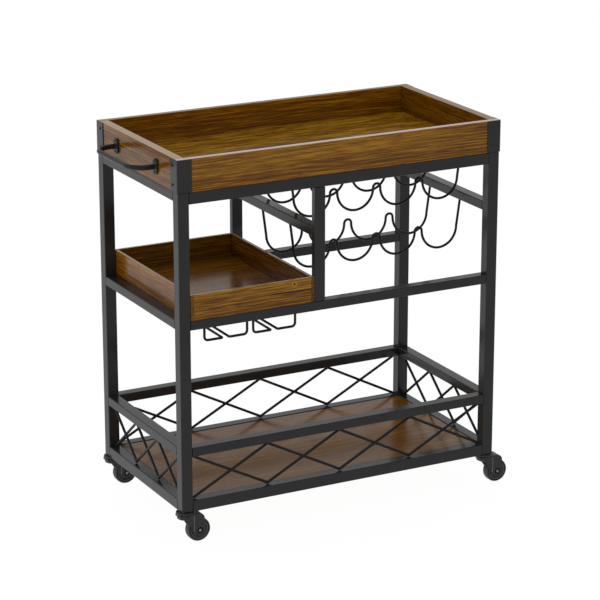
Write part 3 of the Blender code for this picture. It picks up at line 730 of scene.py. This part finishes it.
# ---- boards -------------------------------------------------------------------------------------
def make_board(
    name, low, high, grain, seed, tone_and_painted_shading=PLAIN, painted_rim_highlight=0.0, edge=BOARD_EDGE, figure=1.0, calm=0.0
):
    """A board with rounded edges. Its grain runs along X or Y, and seed picks where in the log it lies.
    A figure below 1 spreads the streaks, as on flat-sawn wood. The colour factor with its painted
    shading, the share of painted rim highlight and calm are told in walnut_look."""
    centre = (low + high) / 2
    size = high - low
    mesh_data = bmesh.new()
    box = Matrix.Translation(centre) @ Matrix.Diagonal((*size, 1.0))
    bmesh.ops.create_cube(mesh_data, size=1.0, matrix=box)
    bmesh.ops.bevel(
        mesh_data, geom=mesh_data.edges[:], offset=edge, segments=3, profile=0.5, affect="EDGES"
    )
    piece = even_shading(make_object(name, mesh_data, ["walnut"], sharp=60.0))
    along = "xyz".index(grain)
    across, through = sorted((i for i in range(3) if i != along), key=lambda i: -size[i])
    shift = [seed * step for step in LOG_STEP]
    values = []
    for vert in piece.data.vertices:
        local = vert.co - centre
        values += [local[along] + shift[0], figure * local[across] + shift[1], local[through] + shift[2]]
    attributes = piece.data.attributes
    attributes.new("grain", "FLOAT_VECTOR", "POINT").data.foreach_set("vector", values)
    faces = piece.data.polygons
    # The colour factor: the board's own tone with painted shade or painted light.
    attributes.new("tone_and_painted_shading", "FLOAT_VECTOR", "FACE").data.foreach_set("vector", tone_and_painted_shading * len(faces))
    # Painted highlight on the faces that look up.
    bands = [painted_rim_highlight if face.normal.z > 0.5 else 0.0 for face in faces]
    attributes.new("painted_rim_highlight", "FLOAT", "FACE").data.foreach_set("value", bands)
    attributes.new("calm", "FLOAT", "FACE").data.foreach_set("value", [calm] * len(faces))
    return piece


def make_boards():
    """The boards of the top tray, the shelf and the small tray's floor, each with its own tone and painted
    shading.
    """
    # Colour factors below 1 are painted shade: the walls' insides, the handle's shadow on the left end, and
    # the boards below. The floor's factor, above 1, is painted light with a golden tint. The rim highlights
    # are painted, strongest on the front wall.
    boards = {
        "tray_wall_front": {"seed": 3, "painted_rim_highlight": 1.0},
        "tray_wall_back": {"seed": 5, "tone_and_painted_shading": (0.91, 0.90, 0.90), "painted_rim_highlight": 0.2},
        "tray_wall_left": {"seed": 8, "tone_and_painted_shading": (0.73, 0.71, 0.70), "painted_rim_highlight": 0.5},
        "tray_wall_right": {"seed": 2, "tone_and_painted_shading": (0.54, 0.52, 0.80), "painted_rim_highlight": 0.25},
        "tray_floor": {"seed": 11, "tone_and_painted_shading": (1.12, 1.27, 1.40), "figure": 0.5, "calm": -0.9},
        "bottom_shelf": {"seed": 7, "tone_and_painted_shading": (0.90, 0.93, 1.00), "figure": 0.8, "calm": 0.45},
        "small_tray_floor": {"seed": 4, "tone_and_painted_shading": (0.85, 0.90, 0.90), "figure": 0.8, "calm": 0.4},
    }
    for node, choices in boards.items():
        low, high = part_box(node)
        grain = "y" if node.endswith(("wall_left", "wall_right")) else "x"
        stand_for(make_board(f"{node}_board", low, high, grain, **choices), node)


def make_small_tray_walls():
    """Side boards over the full depth, with the front and back boards between them."""
    low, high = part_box("small_tray_walls")
    wall = SMALL_TRAY_WALL
    inner_low = low.x + wall + SEAM
    inner_high = high.x - wall - SEAM
    # Colour factors: partly each board's own tone, partly painted shade, darkest on the right side's inside.
    # All four get the painted rim highlight.
    boards = {
        "side_left": ((low.x, low.y), (low.x + wall, high.y), "y", 13, (0.88, 0.84, 0.85), 0.0),
        "side_right": ((high.x - wall, low.y), (high.x, high.y), "y", 17, (0.44, 0.38, 0.80), -0.4),
        "front": ((inner_low, low.y), (inner_high, low.y + wall), "x", 19, PLAIN, -0.4),
        "back": ((inner_low, high.y - wall), (inner_high, high.y), "x", 23, (0.75, 0.80, 0.95), 0.0),
    }
    for name, (near, far, grain, seed, tone_and_painted_shading, calm) in boards.items():
        near = Vector((*near, low.z))
        far = Vector((*far, high.z))
        board = make_board(
            f"small_tray_{name}", near, far, grain, seed, tone_and_painted_shading, painted_rim_highlight=0.4, edge=THIN_BOARD_EDGE, calm=calm
        )
        stand_for(board, "small_tray_walls")


def make_runner():
    """A thin folded strip inside the left rail, just under the small tray's edge."""
    low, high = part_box("mid_rail_left")
    x = high.x + RUNNER_GAP
    top = high.z - RUNNER_SINK
    outline = [
        (x, top - RUNNER_DROP),
        (x + RUNNER_SHEET, top - RUNNER_DROP),
        (x + RUNNER_SHEET, top - RUNNER_SHEET),
        (x + RUNNER_LEDGE, top - RUNNER_SHEET),
        (x + RUNNER_LEDGE, top),
        (x + RUNNER_FOLD, top),
        (x, top - RUNNER_FOLD),
    ]
    mesh_data = bmesh.new()
    ends = (low.y + RUNNER_END_GAP, high.y - RUNNER_END_GAP)
    skin(mesh_data, [lift(outline, "y", place, Vector()) for place in ends])
    add_to(make_object("small_tray_runner", mesh_data, ["steel"]), "frame")


# ---- screws, brackets and handles ---------------------------------------------------------------
def make_screw_mesh(radius=3.3 * MM, height=1.0 * MM):
    """A low domed screw head with a cross recess, its seat at the origin and its axis on Z."""
    profile = [(radius, -SCREW_SKIRT)]
    steps = 6
    for step in range(steps):
        angle = math.radians(90 * step / steps)
        profile.append((radius * math.cos(angle), height * math.sin(angle)))
    profile.append((SCREW_CROWN, height))
    head_data = bmesh.new()
    turn(head_data, profile, Vector(), "z", segments=24)
    head = make_object("screw_head", head_data, ["screw"])
    for width, length in (SCREW_CROSS, SCREW_CROSS[::-1]):
        slot_data = bmesh.new()
        size = Matrix.Diagonal((width * MM, length * MM, SCREW_CROSS_DEPTH * MM, 1.0))
        bmesh.ops.create_cube(slot_data, size=1.0, matrix=Matrix.Translation((0, 0, height)) @ size)
        combine(head, make_object("screw_slot", slot_data, ["screw"]), "DIFFERENCE")
    mesh = head.data
    bpy.data.objects.remove(head, do_unlink=True)
    return mesh


def make_screws(name, spots, mesh, body):
    """Screw heads at (place, outward direction) spots, as one piece. Those that face the ends are near black
    as painted shade; those that face the front or the back take the bracket's coat."""
    mesh_data = bmesh.new()
    for number, (place, outward) in enumerate(spots):
        count = len(mesh_data.verts)
        bare = len(mesh_data.faces)
        mesh_data.from_mesh(mesh)
        mesh_data.verts.ensure_lookup_table()
        mesh_data.faces.ensure_lookup_table()
        for face in mesh_data.faces[bare:]:
            # By its facing: painted shade towards the ends, the bracket's coat towards the front or back.
            face.material_index = int(abs(outward.y) > 0.5)
        aim = outward.to_track_quat("Z", "Y").to_matrix().to_4x4()
        twist = Matrix.Rotation(math.radians(SCREW_TURNS[0] + SCREW_TURNS[1] * number), 4, "Z")
        matrix = Matrix.Translation(place) @ aim @ twist
        bmesh.ops.transform(mesh_data, matrix=matrix, verts=mesh_data.verts[count:])
    add_to(make_object(name, mesh_data, ["screw", "steel"]), body)


def make_bracket(node, sx, sy):
    """An L of folded sheet round one corner of the tray, its edges broken. Returns the screws' spots."""
    low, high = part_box(node)
    x_out = high.x if sx > 0 else -low.x
    y_out = high.y if sy > 0 else -low.y
    reach = BRACKET_INNER_CORNER + BRACKET_SHEET
    outline = [(x_out - BRACKET_FLANGE, y_out)]
    outline += arc((x_out - BRACKET_CORNER, y_out - BRACKET_CORNER), BRACKET_CORNER, 90, 0, 6)
    outline.append((x_out, y_out - BRACKET_FLANGE))
    outline.append((x_out - BRACKET_SHEET, y_out - BRACKET_FLANGE))
    outline += arc((x_out - reach, y_out - reach), BRACKET_INNER_CORNER, 0, 90, 6)
    outline.append((x_out - BRACKET_FLANGE, y_out - BRACKET_SHEET))
    centre = Vector()
    points = [(sx * a, sy * b) for a, b in outline]
    mesh_data = bmesh.new()
    skin(mesh_data, [lift(points, "z", low.z, centre), lift(points, "z", high.z, centre)])
    piece = make_object(f"{node}_sheet", mesh_data, ["steel"])
    ease = piece.modifiers.new("broken_edges", "BEVEL")
    ease.width = BRACKET_EASE
    ease.segments = 2
    ease.limit_method = "ANGLE"
    ease.angle_limit = math.radians(40)
    stand_for(even_shading(piece), node)
    spots = []
    for height in SCREW_HEIGHTS:
        z = high.z - height
        spots.append((Vector((sx * x_out, sy * (y_out - SCREW_INSET), z)), Vector((sx, 0, 0))))
        spots.append((Vector((sx * (x_out - SCREW_INSET), sy * y_out, z)), Vector((0, sy, 0))))
    return spots


def make_handle(node, sx):
    """A bent round bar on two oval feet. Returns the screws' spots."""
    low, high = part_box(node)
    wall = min(abs(low.x), abs(high.x))
    reach = max(abs(low.x), abs(high.x)) - HANDLE_RADIUS
    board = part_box("tray_wall_left")
    foot_z = (board[0].z + board[1].z) / 2 - BAR_DROP
    half = HANDLE_SPREAD / 2
    corners = [
        (sx * (wall + BAR_SINK), -half, foot_z),
        (sx * reach, -half, foot_z),
        (sx * reach, half, foot_z),
        (sx * (wall + BAR_SINK), half, foot_z),
    ]
    mesh_data = bmesh.new()
    rod(mesh_data, rounded_path(corners, [HANDLE_BEND, HANDLE_BEND], steps=14), HANDLE_RADIUS, sides=24)
    spots = []
    for sy in ENDS.values():
        centre = Vector((0, sy * half, foot_z))
        rings = []
        for inset, place in FOOT_PROFILE:
            trim = inset * MM
            corner = FOOT_WIDTH / 2 - trim - OVAL_SLACK
            oval = rounded_rectangle(FOOT_WIDTH - 2 * trim, FOOT_HEIGHT - 2 * trim, corner, 12)
            rings.append(lift(oval, "x", sx * (wall + place * MM), centre))
        skin(mesh_data, rings)
        start = Vector((sx * (wall + FOOT_THICKNESS - COLLAR_SINK), sy * half, foot_z))
        collar = [(HANDLE_RADIUS + wider * MM, sx * place * MM) for wider, place in COLLAR_PROFILE]
        turn(mesh_data, collar, start, "x", segments=24)
        for up in (-FOOT_SCREW, FOOT_SCREW):
            place = Vector((sx * (wall + FOOT_THICKNESS - FOOT_SCREW_SINK), sy * half, foot_z + up))
            spots.append((place, Vector((sx, 0, 0))))
    piece = make_object(f"{node}_bar", mesh_data, ["handle"], sharp=50.0)
    stand_for(even_shading(piece), node)
    return spots


def make_fittings():
    large = make_screw_mesh()
    small = make_screw_mesh(radius=2.4 * MM, height=0.8 * MM)
    for side, sx in SIDES.items():
        for end, sy in ENDS.items():
            spots = make_bracket(f"corner_bracket_{end}_{side}", sx, sy)
            make_screws(f"bracket_screws_{end}_{side}", spots, large, "top_tray")
        make_screws(f"handle_screws_{side}", make_handle(f"handle_{side}", sx), small, "top_tray")


# ---- casters ------------------------------------------------------------------------------------
def make_caster_mount(node):
    """Round plate with a grooved rim under the post, and its stem up inside the tube."""
    low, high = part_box(node)
    centre = (low + high) / 2
    centre.z = low.z + CUP_THICKNESS
    mesh_data = bmesh.new()
    turn(mesh_data, [(r * MM, z * MM) for r, z in MOUNT_PROFILE], centre, "z", closed=True)
    stand_for(make_object(f"{node}_cap", mesh_data, ["plastic"]), node)


def fork_outline(trail, axle_z, top):
    """Side view of the fork as (along, up) from the swivel axis: a hood with a brim ahead of the axis
    and a round back over the wheel, and legs that narrow to the axle's boss."""
    back = trail + FORK_BOSS
    brim = arc((HOOD_BRIM_ROUND - HOOD_BRIM, top - HOOD_BRIM_ROUND), HOOD_BRIM_ROUND, 90, 180, 4)
    throat = [(-HOOD_BRIM, top - HOOD_DEPTH)]
    throat += [(along * MM, top - down * MM) for along, down in FORK_THROAT]
    boss = arc((trail, axle_z), FORK_BOSS, 220, 360, 18)
    hood = arc((back - HOOD_ROUND, top - HOOD_ROUND), HOOD_ROUND, 0, 90, 10)
    return brim + throat + boss + hood


def make_fork(node, pivot, axle):
    """Hooded fork: two legs, a hood over the wheel and a round crown over the kingpin."""
    trail = axle.x - pivot.x
    half = FORK_HALF_WIDTH
    crown_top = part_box(node.replace("fork", "mount"))[0].z - FORK_SLACK
    outline = fork_outline(trail, axle.z, crown_top - HOOD_SINK)
    centre = Vector((pivot.x, pivot.y, 0))
    body_data = bmesh.new()
    skin(body_data, [lift(outline, "y", -half, centre), lift(outline, "y", half, centre)])
    rims = [edge for edge in body_data.edges if any(len(face.verts) > 4 for face in edge.link_faces)]
    bmesh.ops.bevel(body_data, geom=rims, offset=FORK_EASE, segments=4, profile=0.5, affect="EDGES")
    fork = make_object(f"{node}_body", body_data, ["plastic"], sharp=40.0)

    slot_data = bmesh.new()
    leg_face = half - FORK_LEG
    size = Matrix.Diagonal((SLOT_LENGTH, 2 * leg_face, SLOT_TOP + SLOT_BELOW, 1.0))
    middle = Matrix.Translation((centre.x, centre.y, (SLOT_TOP - SLOT_BELOW) / 2))
    bmesh.ops.create_cube(slot_data, size=1.0, matrix=middle @ size)
    combine(fork, make_object("fork_slot", slot_data, ["plastic"]), "DIFFERENCE")
    for sy in ENDS.values():
        pocket_data = bmesh.new()
        face = sy * half
        pocket = [(r * MM, face + sy * rise * MM) for r, rise in POCKET_PROFILE]
        turn(pocket_data, pocket, axle, "y")
        combine(fork, make_object("fork_pocket", pocket_data, ["plastic"]), "DIFFERENCE")

    crown_data = bmesh.new()
    radius = CROWN_RADIUS
    profile = [
        (radius - 0.8 * MM, SLOT_TOP + 1.0 * MM),
        (radius, SLOT_TOP + 2.0 * MM),
        (radius, crown_top - 1.8 * MM),
        (radius - 0.5 * MM, crown_top - 0.7 * MM),
        (radius - 1.6 * MM, crown_top),
        (KINGPIN_RADIUS, crown_top),
        (KINGPIN_RADIUS, KINGPIN_TOP),
    ]
    turn(crown_data, profile, centre, "z")
    combine(fork, make_object("fork_crown", crown_data, ["plastic"]), "UNION")
    fork.data.shade_smooth()
    fork.data.set_sharp_from_angle(angle=math.radians(35))
    stand_for(fork, node)

    make_ribs(node, trail, axle.z, crown_top - RIB_TOP_GAP, centre)
    make_axle(node, axle)


def make_ribs(fork_node, trail, foot, top, centre):
    """A rib down the front of each fork leg, grey as a painted highlight."""
    ridge = [
        (trail - RIB_FRONT, foot),
        (trail - RIB_FOOT, foot - RIB_STEP),
        (trail - RIB_HEAD, top),
        (trail - RIB_FRONT, top),
    ]
    rib_data = bmesh.new()
    for sy in ENDS.values():
        places = [sy * (FORK_HALF_WIDTH + rise * MM) for rise in RIB_RISE]
        skin(rib_data, [lift(ridge, "y", place, centre) for place in places])
    edges = rib_data.edges[:]
    bmesh.ops.bevel(rib_data, geom=edges, offset=RIB_EASE, segments=2, profile=0.5, affect="EDGES")
    ribs = make_object(fork_node.replace("fork", "ribs"), rib_data, ["painted_highlight_grey"])
    add_to(ribs, BODY_OF[fork_node])


def make_axle(fork_node, axle):
    """The riveted axle through the fork, with a near-black ring round each head, painted shade in its
    recess.
    """
    half = FORK_HALF_WIDTH
    axle_data = bmesh.new()
    head = half + 0.9 * MM
    profile = [
        (0.6 * MM, head),
        (2.7 * MM, head - 0.1 * MM),
        (3.3 * MM, head - 0.5 * MM),
        (3.6 * MM, head - 1.2 * MM),
        (3.6 * MM, half - 1.9 * MM),
        (3.0 * MM, half - 1.9 * MM),
    ]
    turn(axle_data, profile + [(r, -y) for r, y in reversed(profile)], axle, "y", segments=32)
    for sy in ENDS.values():
        # Near-black ring in the pocket round the head: painted shade.
        shade_ring = [(r * MM, sy * (half + rise * MM)) for r, rise in PAINTED_SHADE_RING_PROFILE]
        for face in turn(axle_data, shade_ring, axle, "y", segments=32, closed=True):
            face.material_index = 1
    axle_piece = make_object(fork_node.replace("fork", "axle"), axle_data, ["zinc", "screw"])
    add_to(axle_piece, BODY_OF[fork_node])


def make_wheel(node, axle):
    """Moulded wheel: dished sides with a grey ring as a painted highlight, a round hub and two grooves in
    the tread.
    """
    profile = [(r * MM, -y * MM) for r, y in WHEEL_PROFILE]
    profile += [(r * MM, y * MM) for r, y in reversed(WHEEL_PROFILE)]
    mesh_data = bmesh.new()
    faces = turn(mesh_data, profile, axle, "y", segments=72, closed=True)
    for face in faces:
        spot = face.calc_center_median() - axle
        radius = math.hypot(spot.x, spot.z)
        if radius > TREAD_FROM:
            face.material_index = 1
        elif RING[0] < radius < RING[1]:
            # The grey ring: painted highlight.
            face.material_index = 2
    stand_for(make_object(f"{node}_tyre", mesh_data, ["plastic", "rubber", "painted_highlight_grey"]), node)


def make_casters():
    for end in ENDS:
        for side in SIDES:
            corner = f"{end}_{side}"
            low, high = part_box(f"caster_mount_{corner}")
            pivot = (low + high) / 2
            low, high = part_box(f"caster_wheel_{corner}")
            axle = (low + high) / 2
            make_caster_mount(f"caster_mount_{corner}")
            make_fork(f"caster_fork_{corner}", pivot, axle)
            make_wheel(f"caster_wheel_{corner}", axle)


# ---- stage --------------------------------------------------------------------------------------
FLOOR_SIZE = 40.0  # half its width
FLOOR_DROP = 0.2 * MM  # below the wheels
FLOOR_GLOW = 0.97
BRIGHT_SIDE = (-0.50, 0.83, 0.15)  # direction in which the studio is brightest
BRIGHT_FROM, BRIGHT_TO = -0.75, 0.65  # cosines to that direction between which the light rises
DIM, BRIGHT = 0.47, 0.81  # strengths before and after that rise
OVERHEAD_LOSS = 0.25  # share of the light that is missing straight above
CAMERA_AZIMUTH = -27.87  # degrees
CAMERA_ELEVATION = 17.33
CAMERA_AIM = (0.0022, -0.002, 0.4277)
CAMERA_DISTANCE = 5.5255
CAMERA_LENS = 152.18  # mm, on a sensor of SENSOR mm
SENSOR = 36.0


def make_floor():
    """Plain white floor, bright enough that only a trace of the cart's shadow is left on it."""
    mesh_data = bmesh.new()
    bmesh.ops.create_grid(mesh_data, x_segments=1, y_segments=1, size=FLOOR_SIZE)
    mesh = bpy.data.meshes.new("studio_floor")
    mesh_data.to_mesh(mesh)
    mesh_data.free()
    floor = bpy.data.objects.new("studio_floor", mesh)
    floor.location.z = -FLOOR_DROP
    floor.visible_diffuse = False
    floor.visible_glossy = False
    floor.visible_shadow = False
    bpy.context.scene.collection.objects.link(floor)
    look = bpy.data.materials.new("studio_floor_white")
    look.use_nodes = True
    shader = look.node_tree.nodes["Principled BSDF"]
    shader.inputs["Base Color"].default_value = (0.08, 0.08, 0.08, 1.0)
    shader.inputs["Roughness"].default_value = 1.0
    shader.inputs["Specular IOR Level"].default_value = 0.0
    shader.inputs["Emission Color"].default_value = (1.0, 1.0, 1.0, 1.0)
    shader.inputs["Emission Strength"].default_value = FLOOR_GLOW
    mesh.materials.append(look)


def make_world():
    """A white studio: bright behind and to the left of the cart, dimmer towards its front right and
    overhead. The camera sees plain white behind it."""
    scene = bpy.context.scene
    scene.world = bpy.data.worlds.new("studio")
    scene.world.use_nodes = True
    tree = scene.world.node_tree
    tree.nodes.clear()
    link = tree.links.new
    place = tree.nodes.new("ShaderNodeTexCoord").outputs["Generated"]

    def along(direction):
        made = tree.nodes.new("ShaderNodeVectorMath")
        made.operation = "DOT_PRODUCT"
        made.inputs[1].default_value = direction
        link(place, made.inputs[0])
        return made.outputs["Value"]

    spread = tree.nodes.new("ShaderNodeMapRange")
    spread.interpolation_type = "SMOOTHSTEP"
    limits = {"From Min": BRIGHT_FROM, "From Max": BRIGHT_TO, "To Min": DIM, "To Max": BRIGHT}
    for key, value in limits.items():
        spread.inputs[key].default_value = value
    link(along(Vector(BRIGHT_SIDE).normalized()), spread.inputs["Value"])
    fall = tree.nodes.new("ShaderNodeMath")
    fall.operation = "MULTIPLY_ADD"
    fall.inputs[1].default_value = -OVERHEAD_LOSS
    fall.inputs[2].default_value = 1.0
    link(along(Vector((0, 0, 1))), fall.inputs[0])
    strength = tree.nodes.new("ShaderNodeMath")
    strength.operation = "MULTIPLY"
    link(spread.outputs["Result"], strength.inputs[0])
    link(fall.outputs["Value"], strength.inputs[1])

    lighting = tree.nodes.new("ShaderNodeBackground")
    link(strength.outputs["Value"], lighting.inputs["Strength"])
    backdrop = tree.nodes.new("ShaderNodeBackground")
    backdrop.inputs["Color"].default_value = (1.0, 1.0, 1.0, 1.0)
    mix = tree.nodes.new("ShaderNodeMixShader")
    link(tree.nodes.new("ShaderNodeLightPath").outputs["Is Camera Ray"], mix.inputs["Fac"])
    link(lighting.outputs["Background"], mix.inputs[1])
    link(backdrop.outputs["Background"], mix.inputs[2])
    link(mix.outputs["Shader"], tree.nodes.new("ShaderNodeOutputWorld").inputs["Surface"])


def make_light(name, place, aim, size, power):
    data = bpy.data.lights.new(name, "AREA")
    data.shape = "DISK"
    data.size = size
    data.energy = power
    light = bpy.data.objects.new(name, data)
    light.location = place
    light.rotation_mode = "QUATERNION"
    light.rotation_quaternion = (Vector(aim) - Vector(place)).to_track_quat("-Z", "Y")
    bpy.context.scene.collection.objects.link(light)


def make_camera():
    """Looks down on the cart from its front left corner."""
    azimuth = math.radians(CAMERA_AZIMUTH)
    elevation = math.radians(CAMERA_ELEVATION)
    back = Vector((
        math.sin(azimuth) * math.cos(elevation),
        -math.cos(azimuth) * math.cos(elevation),
        math.sin(elevation),
    ))
    data = bpy.data.cameras.new("camera")
    data.lens = CAMERA_LENS
    data.sensor_width = SENSOR
    camera = bpy.data.objects.new("camera", data)
    camera.location = Vector(CAMERA_AIM) + back * CAMERA_DISTANCE
    camera.rotation_mode = "QUATERNION"
    camera.rotation_quaternion = (-back).to_track_quat("-Z", "Y")
    bpy.context.scene.collection.objects.link(camera)
    bpy.context.scene.camera = camera


def make_stage():
    bpy.context.scene.view_settings.view_transform = "Standard"
    make_floor()
    make_world()
    make_light("overhead_softbox", place=(-0.6, -0.9, 2.6), aim=(0.0, 0.0, 0.5), size=1.8, power=1.0)
    make_camera()


make_frame()
make_racks()
make_boards()
make_small_tray_walls()
make_runner()
make_fittings()
make_casters()
make_stage()
